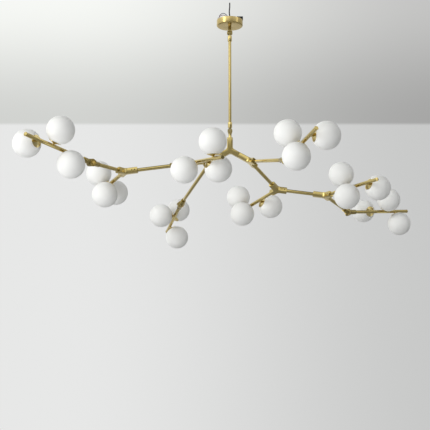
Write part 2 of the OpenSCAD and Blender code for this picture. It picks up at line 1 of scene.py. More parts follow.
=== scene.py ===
"""Branch chandelier: the looks of the brass tree, its opal globes and the wiring over its canopy."""
import json
import math
import bmesh
import bpy
import numpy as np
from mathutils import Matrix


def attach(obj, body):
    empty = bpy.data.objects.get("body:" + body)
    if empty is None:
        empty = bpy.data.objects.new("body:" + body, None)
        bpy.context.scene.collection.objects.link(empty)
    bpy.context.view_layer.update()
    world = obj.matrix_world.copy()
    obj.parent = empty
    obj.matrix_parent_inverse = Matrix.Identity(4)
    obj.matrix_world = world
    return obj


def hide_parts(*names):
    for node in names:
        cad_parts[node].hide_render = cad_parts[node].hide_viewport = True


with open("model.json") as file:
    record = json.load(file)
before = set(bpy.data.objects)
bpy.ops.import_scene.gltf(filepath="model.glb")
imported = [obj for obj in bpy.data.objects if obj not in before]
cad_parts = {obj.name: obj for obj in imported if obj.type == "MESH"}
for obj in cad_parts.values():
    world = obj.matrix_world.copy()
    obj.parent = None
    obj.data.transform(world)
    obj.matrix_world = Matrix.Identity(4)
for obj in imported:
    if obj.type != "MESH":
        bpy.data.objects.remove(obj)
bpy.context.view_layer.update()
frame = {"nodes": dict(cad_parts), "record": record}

# Sizes in metres and degrees, the same driving dimensions as the construction ----------------
CANOPY_R, CANOPY_H, CANOPY_BEVEL, CANOPY_WALL, NIPPLE_HOLE_R = 0.063, 0.031, 0.004, 0.0016, 0.0052
UPPER_PIVOT_Z, LOWER_PIVOT_Z = -0.063, -0.551
# The downrod, from a pivot to its coupling's neck, and how far it goes in there
DOWNROD_R, PIVOT_NECK, DOWNROD_IN = 0.007, 0.016, 0.0055
HUB_W, HUB_T, HUB_EDGE, LEG_L, STEM_L, CROTCH_R = 0.026, 0.025, 0.0026, 0.049, 0.061, 0.018
TUBE_R, ROD_L, BUTTON_R, BUTTON_T = 0.0085, 0.361, 0.009, 0.006
GROOVE_W, GROOVE_DEEP = 0.0005, 0.0004
# How deep a tube sits in a hub's arm, and in the neck of an elbow
HUB_SEAT, ELBOW_SEAT = 0.035, 0.0237
FIRST_GLOBE, GLOBE_STEP, GLOBE_TURN = 0.118, 0.078, 120
GLOBE_OUT, GLOBE_R, GLASS_WALL, NECK_HOLE_R = 0.074, 0.060, 0.0025, 0.020
# Cups: radius, gap to the globe, boss and its rise over the tube; the flare's first step, rim, lip and foot
CUP_R, CUP_GAP, BOSS_R, BOSS_RISE = 0.027, 0.0002, 0.006, 0.002
FLARE_UP, FLARE_OUT, RIM_T, LIP_W, FOOT_SUNK = 0.0017, 0.002, 0.0016, 0.0006, 0.0004
# Grub screws: radius, places from an arm's end, half the width kept flat round one; length, bore and socket
GRUB_R, GRUB_IN, GRUB_PITCH = 0.0025, (0.012, 0.025), 0.004
GRUB_L, GRUB_SUNK, BORE_GAP, BORE_DEPTH = 0.003, 0.0004, 0.00008, 0.002
SOCKET_R, SOCKET_FLOOR, SOCKET_FLOOR_R = 0.0014, 0.0018, 0.00125
# The main hub's middle, and its turn about the downrod
MAIN_Z, MAIN_TURN = -0.645, 6
# A leg's angle to the line of its hub's stem, and the roll from one leg to the other
LEG_BEND, OPPOSITE = 60, 180
# Distance from a hub to the next hub or swivel on its link
SPAN_FRONT_RIGHT, SPAN_RIGHT_2, SPAN_RIGHT_3, SPAN_BACK_RIGHT = 0.380, 0.290, 0.240, 0.280
SPAN_BACK_LEFT, SPAN_LEFT_2, SPAN_LEFT_3, SPAN_LEFT = 0.470, 0.245, 0.260, 0.230
# How far a hub is rolled about the direction that reaches it
ROLL_RIGHT_1, ROLL_RIGHT_2, ROLL_RIGHT_3 = 85, -92, 84
ROLL_LEFT_1, ROLL_LEFT_2, ROLL_LEFT_3 = 92, 270, 94

# The photograph's width and lens in pixels and the sensor in millimetres; the camera's place and its pitch
PHOTO_W, LENS_PX, SENSOR_MM = 430, 1000.0, 36.0
CAMERA_AT, CAMERA_PITCH = (-0.0714, -4.635, -1.715), 9.3

# Sides of a round surface, rings of a globe's outer and inner skin, and the radius that softens each edge
GLOBE_SIDES, TUBE_SIDES, DOWNROD_SIDES, SCREW_SIDES, CANOPY_SIDES = 64, 48, 64, 18, 128
OUTER_RINGS, INNER_RINGS = 44, 22
CUP_SOFT, SCREW_SOFT, TUBE_SOFT, BUTTON_SOFT, CANOPY_SOFT = 0.0008, 0.0003, 0.0004, 0.0012, 0.0014

# Points of a mesh that lie closer than this are one point
WELD = 2e-6


# Directions and places ----------------------------------------------------------------------
UP = np.array([0.0, 0.0, 1.0])


def unit(v):
    """The vector at length one."""
    return v / np.linalg.norm(v)


def upright(t):
    """The part of up that is square to t, at unit length."""
    return unit(UP - (UP @ t) * t)


def turned(t, bend, roll):
    """A direction bent away from t, rolled about t from the upright, in degrees."""
    bend, roll = math.radians(bend), math.radians(roll)
    side = math.cos(roll) * upright(t) + math.sin(roll) * np.cross(t, upright(t))
    return math.cos(bend) * t + math.sin(bend) * side


def place(p, x, y):
    """A 4 by 4 matrix with +X along x and +Y along y, at the point p."""
    m = np.eye(4)
    m[:3, 0], m[:3, 1], m[:3, 2], m[:3, 3] = x, y, np.cross(x, y), p
    return m


def along(p, t):
    """A place at p with +X along t and +Y upright, or along Y where t itself stands upright."""
    return place(np.asarray(p, float), t, upright(t) if abs(t[2]) < 0.99 else np.array([0.0, 1.0, 0.0]))


def shift(x=0.0, y=0.0, z=0.0):
    """A move by x, y and z."""
    m = np.eye(4)
    m[:3, 3] = x, y, z
    return m


def spin(axis, degrees):
    """A turn about axis 0, 1 or 2: cosines on the diagonal, minus and plus the sine beside it."""
    m = np.eye(4)
    a, b = (axis + 1) % 3, (axis + 2) % 3
    c, s = math.cos(math.radians(degrees)), math.sin(math.radians(degrees))
    m[a, a], m[a, b], m[b, a], m[b, b] = c, -s, s, c
    return m


# Layout of the tree ---------------------------------------------------------------------------
main_turn, leg_bend = math.radians(MAIN_TURN), math.radians(LEG_BEND)
ACROSS = np.array([math.cos(main_turn), -math.sin(main_turn), 0.0])
STEP = LEG_L + STEM_L
main_p = np.array([0.0, 0.0, MAIN_Z])
drop, reach_out = math.cos(leg_bend) * UP, math.sin(leg_bend) * ACROSS
down_right, down_left = -drop + reach_out, -drop - reach_out


def fork_off(p, travel, roll, far, near):
    """The two directions in which a hub's legs point, one at the roll and one opposite it, and a point
    so far along the first and so near along the other."""
    one, other = turned(travel, LEG_BEND, roll), turned(travel, LEG_BEND, roll + OPPOSITE)
    return one, p + far * one, other, p + near * other


right_1, left_1 = main_p + STEP * down_right, main_p + STEP * down_left
to_front_right, front_right_p, to_right_2, right_2 = fork_off(right_1, down_right, ROLL_RIGHT_1,
                                                              SPAN_FRONT_RIGHT, SPAN_RIGHT_2)
rod_f, _, to_right_3, right_3 = fork_off(right_2, to_right_2, ROLL_RIGHT_2, 0, SPAN_RIGHT_3)
rod_g, _, to_back_right, back_right_p = fork_off(right_3, to_right_3, ROLL_RIGHT_3, 0, SPAN_BACK_RIGHT)
to_back_left, back_left_p, to_left_2, left_2 = fork_off(left_1, down_left, ROLL_LEFT_1,
                                                        SPAN_BACK_LEFT, SPAN_LEFT_2)
rod_c, _, to_left_3, left_3 = fork_off(left_2, to_left_2, ROLL_LEFT_2, 0, SPAN_LEFT_3)
rod_b, _, to_left, left_p = fork_off(left_3, to_left_3, ROLL_LEFT_3, 0, SPAN_LEFT)

# Hubs: name, centre, direction of travel, one of the outgoing legs
HUBS = [("main_hub", main_p, -UP, ACROSS),
        ("hub_right_1", right_1, down_right, to_right_2),
        ("hub_right_2", right_2, to_right_2, to_right_3),
        ("hub_right_3", right_3, to_right_3, to_back_right),
        ("hub_left_1", left_1, down_left, to_left_2),
        ("hub_left_2", left_2, to_left_2, to_left_3),
        ("hub_left_3", left_3, to_left_3, to_left)]
# Rods on a swivel: arm, start, direction as a bend and a roll from its link's, angle of the first globe
SWIVELS = [("left", left_p, turned(to_left, -6, 173), 212),
           ("back_left", back_left_p, turned(to_back_left, -8, 239), 269),
           ("front_right", front_right_p, turned(to_front_right, 19, 29), 33),
           ("back_right", back_right_p, turned(to_back_right, 31, 63), 281)]
# Rods held by a hub, in the same way
FIXED = [("fixed", left_3, rod_b, -150), ("fixed", left_2, rod_c, 125),
         ("fixed", right_2, rod_f, 108), ("fixed", right_3, rod_g, 17)]


def stations(start, direction, angle):
    """The three places on a rod where a globe stands, a third of a turn apart, +Z out from its axis."""
    rod = along(start, direction)
    return [rod @ shift(x=LEG_L + FIRST_GLOBE + i * GLOBE_STEP) @ spin(0, angle + GLOBE_TURN * i - 90)
            for i in range(3)]


def hub_frame(centre, travel, leg):
    """A hub's place: +X the way it is reached, +Z square to its plane and turned upwards."""
    n = unit(np.cross(travel, leg))
    n = -n if n[2] < 0 else n
    return place(centre, travel, np.cross(n, travel))


# Surfaces ----------------------------------------------------------------------------------
def revolve(profile, sides):
    """A profile of (x, r) pairs carried round the X axis: the point (x, r cos a, r sin a).

    A radius of zero at an end makes a pole, with a fan of faces round it. UV is metres along the
    profile and metres round it at its widest."""
    x, r = np.asarray(profile, float).T
    a = np.arange(sides) * 2 * math.pi / sides
    ring = r > 0
    xs, rs = x[ring], r[ring]
    rings = [np.repeat(xs, sides), np.outer(rs, np.cos(a)).ravel(), np.outer(rs, np.sin(a)).ravel()]
    verts = np.stack(rings, 1)
    length = np.concatenate([[0], np.cumsum(np.hypot(np.diff(x), np.diff(r)))])[ring]
    n = len(xs)
    i, k = np.meshgrid(np.arange(n - 1), np.arange(sides), indexing="ij")
    i, k, k2 = i.ravel(), k.ravel(), (k.ravel() + 1) % sides
    quads = np.stack([i * sides + k, (i + 1) * sides + k, (i + 1) * sides + k2, i * sides + k2], 1)
    big = r.max()
    across = 2 * math.pi * big / sides
    near, far = length[i], length[i + 1]
    uv = np.stack([np.stack([near, k * across], 1), np.stack([far, k * across], 1),
                   np.stack([far, (k + 1) * across], 1), np.stack([near, (k + 1) * across], 1)], 1)
    faces, uvs = [quads[:, ::-1]], [uv[:, ::-1]]
    for end, pole in ((0, not ring[0]), (n - 1, not ring[-1])):
        if pole:
            tip = len(verts)
            verts = np.vstack([verts, [[x[0] if end == 0 else x[-1], 0, 0]]])
            k = np.arange(sides)
            k2 = (k + 1) % sides
            fan = np.stack([end * sides + k, end * sides + k2, np.full(sides, tip)], 1)
            fan = fan[:, ::-1] if end == 0 else fan
            here = np.full(sides, length[end])
            fan_uv = np.stack([np.stack([here, k * across], 1), np.stack([here, (k + 1) * across], 1),
                               np.stack([here + big / 4, (k + 0.5) * across], 1)], 1)
            faces.append(fan)
            uvs.append(fan_uv[:, ::-1] if end == 0 else fan_uv)
    return verts, faces, uvs


def closed_ring(profile, sides):
    """A closed profile carried round X: the last ring of points is joined to the first."""
    verts, faces, uvs = revolve(profile, sides)
    n = len(profile)
    k = np.arange(sides)
    k2 = (k + 1) % sides
    join = np.stack([(n - 1) * sides + k2, k2, k, (n - 1) * sides + k], 1)
    return verts, faces + [join], uvs + [np.zeros((sides, 4, 2))]


def rounded(points, radius, steps=3):
    """A profile with each inner corner cut by a short arc, its ends kept: from start to end round a
    corner, at s from 0 to 1, the point (1 - s)^2 start + 2 s (1 - s) corner + s^2 end."""
    p = [np.asarray(q, float) for q in points]
    out = [p[0]]
    for before, corner, after in zip(p, p[1:], p[2:]):
        a, b = before - corner, after - corner
        la, lb = np.linalg.norm(a), np.linalg.norm(b)
        cut = min(radius, la * 0.45, lb * 0.45)
        start, end = corner + a / la * cut, corner + b / lb * cut
        for s in np.linspace(0, 1, steps + 1):
            out.append((1 - s) ** 2 * start + 2 * s * (1 - s) * corner + s ** 2 * end)
    out.append(p[-1])
    return np.array(out)


def slab(outline, thick, edge, steps):
    """An outline carried through a thickness, its edges rounded by a quarter circle.

    Layer j stands at z = thick/2 - edge + edge sin(f), drawn in by edge (1 - cos f) along the
    outline's own normals. UV is the outline's own x and y in metres, so streaks run along X."""
    p = np.asarray(outline, float)
    ahead, behind = np.roll(p, -1, 0) - p, p - np.roll(p, 1, 0)
    ahead, behind = (v / np.linalg.norm(v, axis=1)[:, None] for v in (ahead, behind))
    n1, n2 = (np.stack([v[:, 1], -v[:, 0]], 1) for v in (ahead, behind))
    normal = (n1 + n2) / (1 + (n1 * n2).sum(1))[:, None]
    f = np.linspace(0, math.pi / 2, steps + 1)
    z = thick / 2 - edge + edge * np.sin(f)
    inset = edge * (1 - np.cos(f))
    z, inset = np.concatenate([-z[::-1], z]), np.concatenate([inset[::-1], inset])
    layers, count = len(z), len(p)
    flat = p[None] - inset[:, None, None] * normal[None]
    verts = np.concatenate([flat, np.repeat(z, count).reshape(layers, count, 1)], 2).reshape(-1, 3)
    j, i = (a.ravel() for a in np.meshgrid(np.arange(layers - 1), np.arange(count), indexing="ij"))
    i2 = (i + 1) % count
    walls = np.stack([j * count + i, j * count + i2, (j + 1) * count + i2, (j + 1) * count + i], 1)
    around = np.concatenate([[0], np.cumsum(np.linalg.norm(np.roll(p, -1, 0) - p, axis=1))])
    wall_uv = np.stack([np.stack([around[i], z[j]], 1), np.stack([around[i + 1], z[j]], 1),
                        np.stack([around[i + 1], z[j + 1]], 1), np.stack([around[i], z[j + 1]], 1)], 1)
    faces, uvs = [walls], [wall_uv]
    k = np.arange(count)
    k2 = (k + 1) % count
    for layer, order in ((0, -1), (layers - 1, 1)):
        tip = len(verts)
        verts = np.vstack([verts, [[0, 0, z[layer]]]])
        fan = np.stack([layer * count + k, layer * count + k2, np.full(count, tip)], 1)
        faces.append(fan[:, ::order])
        uvs.append(verts[fan[:, ::order]][:, :, :2])
    return verts, faces, uvs


def without(surface, part, rows):
    """A surface without some rows of one of its groups of faces."""
    verts, faces, uvs = surface
    keep = np.ones(len(faces[part]), bool)
    keep[rows] = False
    return (verts, faces[:part] + [faces[part][keep]] + faces[part + 1:],
            uvs[:part] + [uvs[part][keep]] + uvs[part + 1:])


def pierced(corners, middle, out, radius, depth, sides=24):
    """A flat four-cornered wall with a round blind hole: each corner fans to a quarter of the rim, at
    middle + radius (cos a, sin a), and the rim goes straight in by the depth to a flat floor.

    The corners stand counterclockwise seen from outside, and out is the wall's outward direction."""
    corners, middle, out = (np.asarray(v, float) for v in (corners, middle, out))
    a, q = np.arange(sides), sides // 4
    e1 = unit(corners[1] - corners[0])
    e2 = np.cross(out, e1)
    angle = 2 * math.pi * a / sides - math.pi
    rim = middle + radius * (np.cos(angle)[:, None] * e1 + np.sin(angle)[:, None] * e2)
    verts = np.vstack([corners, rim, rim - depth * out, [middle - depth * out]])
    a2 = (a + 1) % sides
    owner = a // q
    fans = np.stack([owner, 4 + a2, 4 + a], 1)
    c = np.arange(4)
    ties = np.stack([c, (c + 1) % 4, 4 + ((c + 1) * q) % sides], 1)
    bore = np.stack([4 + a, 4 + a2, 4 + sides + a2, 4 + sides + a], 1)
    floor = np.stack([4 + sides + a, 4 + sides + a2, np.full(sides, 4 + 2 * sides)], 1)
    place_2d = np.stack([(verts - middle) @ e1, (verts - middle) @ e2], 1)
    faces = [fans, ties, bore, floor]
    return verts, faces, [place_2d[f] for f in faces]


class Piece:
    """One visible piece, gathered from surfaces that are moved into place and joined in one mesh."""

    def __init__(self):
        self.verts, self.faces, self.uvs, self.count = [], [], [], 0

    def add(self, surface, m=np.eye(4)):
        """Takes a surface in, moved by the matrix m."""
        verts, faces, uvs = surface
        self.verts.append(verts @ m[:3, :3].T + m[:3, 3])
        self.faces += [f + self.count for f in faces]
        self.uvs += uvs
        self.count += len(verts)
        return self

    def make(self, name, body, material, finish, replaces, sharp=35):
        """The finished object: one mesh, smooth but for edges sharper than so many degrees."""
        loops = [f.shape[1] for f in self.faces for _ in range(len(f))]
        mesh = bpy.data.meshes.new(name)
        verts = np.vstack(self.verts)
        flat = np.concatenate([f.ravel() for f in self.faces])
        mesh.vertices.add(len(verts))
        mesh.vertices.foreach_set("co", verts.astype(np.float32).ravel())
        mesh.loops.add(len(flat))
        mesh.loops.foreach_set("vertex_index", flat.astype(np.int32))
        mesh.polygons.add(len(loops))
        starts = np.concatenate([[0], np.cumsum(loops)[:-1]])
        mesh.polygons.foreach_set("loop_start", starts.astype(np.int32))
        mesh.polygons.foreach_set("loop_total", np.asarray(loops, np.int32))
        layer = mesh.uv_layers.new(name="surface")
        corners = np.concatenate([u.reshape(-1, 2) for u in self.uvs])
        layer.data.foreach_set("uv", corners.astype(np.float32).ravel())
        mesh.update(calc_edges=True)
        merge_seams(mesh)
        mesh.polygons.foreach_set("use_smooth", [True] * len(mesh.polygons))
        mesh.set_sharp_from_angle(angle=math.radians(sharp))
        mesh.materials.append(material)
        piece = bpy.data.objects.new(name, mesh)
        bpy.context.scene.collection.objects.link(piece)
        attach(piece, body)
        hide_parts(*replaces)


def merge_seams(mesh):
    """Points that lie on each other become one, so that seams are closed."""
    work = bmesh.new()
    work.from_mesh(mesh)
    bmesh.ops.remove_doubles(work, verts=work.verts, dist=WELD)
    work.to_mesh(mesh)
    work.free()


# Shader maths -------------------------------------------------------------------------------
class Field:
    """A socket of a material's tree. Its operators add Math nodes."""

    def __init__(self, tree, socket):
        self.tree, self.socket = tree, socket

    def node(self, kind, settings=None, out=0, **inputs):
        """A new node: its settings first, then its sockets, each by name or as i and its number."""
        made = self.tree.nodes.new(kind)
        for key, value in (settings or {}).items():
            setattr(made, key, value)
        for key, value in inputs.items():
            numbered = key[0] == "i" and key[1:].isdigit()
            socket = made.inputs[int(key[1:]) if numbered else key.replace("_", " ")]
            if isinstance(value, Field):
                self.tree.links.new(value.socket, socket)
            else:
                socket.default_value = value
        return Field(self.tree, made.outputs[out])

    def math(self, operation, other=0.0):
        """This value and another through one Math node."""
        return self.node("ShaderNodeMath", {"operation": operation}, i0=self, i1=other)

    def __add__(self, other):
        return self.math("ADD", other)

    __radd__ = __add__

    def __mul__(self, other):
        return self.math("MULTIPLY", other)

    __rmul__ = __mul__

    def __sub__(self, other):
        return self.math("SUBTRACT", other)

    def __rsub__(self, other):
        return self.node("ShaderNodeMath", {"operation": "SUBTRACT"}, i0=other, i1=self)


def material(name, metallic=0.0, **constants):
    """A new material: its shader, and a Field that reads the tree."""
    made = bpy.data.materials.new(name)
    made.use_nodes = True
    tree = made.node_tree
    shader = tree.nodes["Principled BSDF"]
    shader.inputs["Metallic"].default_value = metallic
    for key, value in constants.items():
        shader.inputs[key.replace("_", " ")].default_value = value
    return made, shader, Field(tree, None)


def feed(field, shader, socket):
    """Links a field to one of the shader's sockets."""
    field.tree.links.new(field.socket, shader.inputs[socket])


def blended(f, factor, one, two):
    """Colour one where the factor is 0, colour two where it is 1."""
    return f.node("ShaderNodeMix", {"data_type": "RGBA"}, out=2, i0=factor, i6=one, i7=two)


def mixed(f, factor, one, two):
    """The same between two written colours of three numbers."""
    return blended(f, factor, (*one, 1.0), (*two, 1.0))


def scaled(colour, amount):
    """A colour times a number."""
    return colour.node("ShaderNodeVectorMath", {"operation": "SCALE"}, i0=colour, Scale=amount)


def ranged(value, low, high, at_low, at_high):
    """A smooth step: at_low where the value is low, at_high where it is high."""
    return value.node("ShaderNodeMapRange", {"interpolation_type": "SMOOTHSTEP"}, Value=value, From_Min=low,
                      From_Max=high, To_Min=at_low, To_Max=at_high)


def noise(f, vector, scale, detail, rough=0.55):
    """Soft noise, so many lumps to a metre."""
    return f.node("ShaderNodeTexNoise", Vector=vector, Scale=scale, Detail=detail, Roughness=rough)


def stretched(f, source, scale):
    """Coordinates scaled apart, so that a noise on them runs in streaks."""
    return f.node("ShaderNodeMapping", Vector=source, Scale=scale)


def object_place(f):
    """The place on the piece, in metres in its own frame."""
    return f.node("ShaderNodeTexCoord", out=3)


def surface_place(f):
    """The piece's own surface coordinates, in metres along and across it."""
    return f.node("ShaderNodeUVMap", {"uv_map": "surface"})


# Depth of the streaks and the grain in metres, for every finish
GRAIN_DEPTH = 0.0002


def brass(name, light, deep, rough, streak, source, streak_scale):
    """Brushed or turned brass: fine streaks in roughness and height, slow drift in colour.

    Rough is its mean roughness and streak the span of it between two lines."""
    made, shader, f = material(name, metallic=1.0)
    lines = noise(f, stretched(f, source(f), streak_scale), 1.0, 3.0, 0.6)
    drift = noise(f, object_place(f), 9.0, 3.0)
    feed(mixed(f, drift * 0.7 + lines * 0.3, light, deep), shader, "Base Color")
    feed(lines * streak + drift * 0.06 + (rough - streak / 2), shader, "Roughness")
    bump = f.node("ShaderNodeBump", Strength=0.12, Distance=GRAIN_DEPTH, Height=lines)
    feed(bump, shader, "Normal")
    return made


BRASS_LIGHT, BRASS_DEEP = (0.66, 0.535, 0.235), (0.54, 0.42, 0.155)
# Streaks to a metre along each coordinate: along a tube, round a spun dish, on a cast or turned piece
ALONG_TUBE, ALONG_ROD, ROUND_DISH = (14.0, 1600.0, 1.0), (14.0, 500.0, 1.0), (1800.0, 9.0, 1.0)
ALONG_ARM, ROUND_PIECE, FINE_GRAIN = (20.0, 1500.0, 1.0), (900.0, 900.0, 60.0), (700.0, 700.0, 700.0)
SATIN = brass("satin_brass_tube", BRASS_LIGHT, BRASS_DEEP, 0.09, 0.05, surface_place, ALONG_TUBE)
DRAWN = brass("satin_brass_drawn", BRASS_LIGHT, BRASS_DEEP, 0.36, 0.08, surface_place, ALONG_ROD)
TURNED = brass("satin_brass_spun", (0.655, 0.515, 0.23), (0.53, 0.40, 0.15), 0.22, 0.12, surface_place,
               ROUND_DISH)
# A darker copy of the brass for the hubs: painted shade on their faces.
HUB_SHADED_BRASS = brass("satin_brass_hub_painted_shade", (0.60, 0.48, 0.195), (0.49, 0.38, 0.135), 0.15, 0.09, surface_place,
                  ALONG_ARM)
SATIN_CAD = brass("satin_brass_turned", BRASS_LIGHT, BRASS_DEEP, 0.15, 0.08, object_place, ROUND_PIECE)
# A darker copy of the brass for the elbow swivels: painted shade on them.
ELBOW_SHADED_BRASS = brass("satin_brass_elbow_painted_shade", (0.48, 0.38, 0.155), (0.34, 0.265, 0.09), 0.15, 0.08, object_place,
                    ROUND_PIECE)
POLISHED = brass("polished_brass", (0.78, 0.64, 0.31), (0.70, 0.56, 0.24), 0.12, 0.06, object_place,
                 FINE_GRAIN)


def opal():
    """Opal glass: a milky body under an etched skin, with the faintest cloudiness."""
    made, shader, f = material("opal_glass", IOR=1.45, Specular_IOR_Level=0.3, Subsurface_Weight=0.3,
                               Subsurface_Scale=0.02)
    shader.inputs["Subsurface Radius"].default_value = (1.0, 0.95, 0.9)
    cloud = noise(f, object_place(f), 22.0, 3.0)
    feed(mixed(f, cloud, (0.965, 0.962, 0.945), (0.945, 0.942, 0.92)), shader, "Base Color")
    feed(noise(f, object_place(f), 60.0, 2.0) * 0.08 + 0.52, shader, "Roughness")
    return made


def plain(name, light, deep, rough, scale, metallic=0.0):
    """Moulded plastic, plated steel, sleeve or glazed clay: a slow change of tone and a fine grain,
    with rough as the mean roughness."""
    made, shader, f = material(name, metallic=metallic)
    where = object_place(f)
    grain = noise(f, where, scale * 20, 2.0)
    feed(mixed(f, noise(f, where, scale, 3.0), light, deep), shader, "Base Color")
    feed(grain * 0.12 + (rough - 0.06), shader, "Roughness")
    feed(f.node("ShaderNodeBump", Strength=0.05, Distance=GRAIN_DEPTH, Height=grain), shader, "Normal")
    return made


OPAL = opal()
ZINC = plain("zinc_steel", (0.62, 0.63, 0.66), (0.5, 0.51, 0.54), 0.35, 40, 1.0)
DARK_STEEL = plain("dark_steel", (0.07, 0.055, 0.04), (0.04, 0.03, 0.025), 0.4, 80, 1.0)
BLACK = plain("black_plastic", (0.004, 0.004, 0.005), (0.009, 0.009, 0.01), 0.6, 60)
GREY = plain("grey_plastic", (0.62, 0.63, 0.62), (0.55, 0.56, 0.56), 0.4, 60)
BLUE = plain("blue_sleeve", (0.004, 0.006, 0.035), (0.008, 0.011, 0.055), 0.6, 90)
RED = plain("red_sleeve", (0.32, 0.008, 0.012), (0.24, 0.006, 0.01), 0.55, 90)
PALE = plain("pale_sleeve", (0.40, 0.22, 0.24), (0.30, 0.16, 0.18), 0.5, 90)
PORCELAIN = plain("porcelain", (0.82, 0.81, 0.76), (0.78, 0.77, 0.72), 0.2, 30)
LAMP = plain("lamp_glass", (0.92, 0.88, 0.78), (0.9, 0.85, 0.74), 0.3, 30)

FINISHES = {"zinc_steel": ZINC, "dark_steel": DARK_STEEL, "black_plastic": BLACK, "grey_plastic": GREY,
            "wire_sleeve": BLUE, "opal_glass": OPAL, "porcelain": PORCELAIN, "lamp_glass": LAMP,
            "satin_brass": SATIN_CAD, "polished_brass": POLISHED}
# The nodes of the elbow swivels
ELBOWS = ("elbow_forks", "tongue_left", "tongue_back_left", "tongue_front_right", "tongue_back_right")


def dress_nodes():
    """Every node of the construction gets the material of its slot; the elbows get a darker copy of the brass,
    which is painted shade.
    """
    for part in frame["record"]["subparts"]:
        slots = frame["nodes"][part["node"]].data.materials
        slots.clear()
        slots.append(ELBOW_SHADED_BRASS if part["node"] in ELBOWS else FINISHES[part["material_slot"]])


# Wires over the canopy -----------------------------------------------------------------------
# Name, finish, diameter, route in metres from the nipple's mouth, far end, how it lies
WIRES = [("feed_cable", BLACK, 0.006,
          [(0, 0, 0.0046), (0, 0, 0.020), (-0.002, 0, 0.044), (0, 0, 0.068), (0, 0, 0.090)], "bare", "taut"),
         ("blue_wire", BLUE, 0.003,
          [(-0.004, 0.003, 0.0046), (-0.004, 0.003, 0.008), (-0.009, 0.004, 0.020), (-0.018, 0.004, 0.032),
           (-0.030, 0.004, 0.038), (-0.042, 0.004, 0.034), (-0.050, 0.004, 0.024), (-0.050, 0.004, 0.009)],
          "object", "loose"),
         ("pale_wire", PALE, 0.003,
          [(-0.004, -0.003, 0.0046), (-0.004, -0.003, 0.007), (-0.010, -0.004, 0.015),
           (-0.022, -0.004, 0.023), (-0.036, -0.004, 0.026), (-0.050, -0.004, 0.018),
           (-0.050, -0.004, 0.009)], "object", "loose"),
         ("red_sleeve", RED, 0.003,
          [(0.005, 0, 0.0046), (0.005, 0, 0.008), (0.009, 0, 0.016), (0.016, 0, 0.019), (0.024, 0, 0.015),
           (0.029, 0, 0.009), (0.0338, 0, 0.009)], "object", "loose")]


def eased(route, spacing=0.002):
    """A smooth line through a route: a Catmull-Rom curve, p(t) a cubic whose slope at each point
    is half the step between its neighbours, sampled evenly and kept through both ends."""
    p = np.asarray(route, float)
    q = np.vstack([2 * p[0] - p[1], p, 2 * p[-1] - p[-2]])
    out = []
    for a, b, c, d in zip(q, q[1:], q[2:], q[3:]):
        t = np.linspace(0, 1, 9)[:-1, None]
        square, cube = 2 * a - 5 * b + 4 * c - d, 3 * b - a - 3 * c + d
        out.append(0.5 * (2 * b + (c - a) * t + square * t ** 2 + cube * t ** 3))
    line = np.vstack(out + [p[-1:]])
    far = np.concatenate([[0], np.cumsum(np.linalg.norm(np.diff(line, axis=0), axis=1))])
    at = np.linspace(0, far[-1], max(15, int(round(far[-1] / spacing)) + 1))
    return np.stack([np.interp(at, far, line[:, k]) for k in range(3)], 1)


def make_wires():
    """Each wire is a round curve of its own diameter along its eased route."""
    for name, finish, diameter, route, far_end, lay in WIRES:
        line = eased(route)
        curve = bpy.data.curves.new(name, "CURVE")
        curve.dimensions, curve.use_fill_caps = "3D", True
        curve.bevel_depth, curve.bevel_resolution = diameter / 2, 3
        spline = curve.splines.new("POLY")
        spline.points.add(len(line) - 1)
        spline.points.foreach_set("co", np.column_stack([line, np.ones(len(line))]).ravel())
        curve.materials.append(finish)
        wire = bpy.data.objects.new(name, curve)
        bpy.context.scene.collection.objects.link(wire)
        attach(wire, "canopy_set")
        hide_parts("supply_wires")


def soften(node, width):
    """Welds a plain node's loose triangles and rounds its edges with a small bevel."""
    part = frame["nodes"][node]
    weld = part.modifiers.new("weld", "WELD")
    weld.merge_threshold = WELD
    bevel = part.modifiers.new("soft_edges", "BEVEL")
    bevel.width, bevel.segments, bevel.limit_method, bevel.angle_limit = width, 2, "ANGLE", math.radians(40)


SWIVELLING = ("upper_fork", "upper_tongue", "lower_fork", "lower_tongue", *ELBOWS)
PINS = ("upper_pin", "lower_pin", "elbow_pins")
SOFTENED = {"ceiling_bracket": 0.0004, "lock_nuts": 0.0005, "driver": 0.0012, "terminal_block": 0.001,
            **dict.fromkeys(SWIVELLING, 0.0008), **dict.fromkeys(PINS, 0.0005)}


# Globes and cups ----------------------------------------------------------------------------
def globe_profile():
    """The outer sphere from the neck's lip to the far pole, and the inner sphere back, as (height,
    radius): the middle's height less R cos a, and R sin a."""
    inner = GLOBE_R - GLASS_WALL
    lip_out, lip_in = math.asin(NECK_HOLE_R / GLOBE_R), math.asin(NECK_HOLE_R / inner)
    a = np.linspace(lip_out, math.pi, OUTER_RINGS)
    b = np.linspace(math.pi, lip_in, INNER_RINGS)
    outer = np.stack([GLOBE_OUT - GLOBE_R * np.cos(a), GLOBE_R * np.sin(a)], 1)
    inside = np.stack([GLOBE_OUT - inner * np.cos(b), inner * np.sin(b)], 1)
    return outer, inside


def upward(surface):
    """A surface made round X, turned to stand round Z."""
    verts, faces, uvs = surface
    return verts @ spin(1, -90)[:3, :3].T, faces, uvs


def shells():
    """The two skins of a globe, joined at the lip."""
    outer, inside = globe_profile()
    outer[-1, 1] = 0
    inside[0, 1] = 0
    neck = np.array([inside[-1], outer[0]])
    return [upward(revolve(line, GLOBE_SIDES)) for line in (outer, inside, neck)]


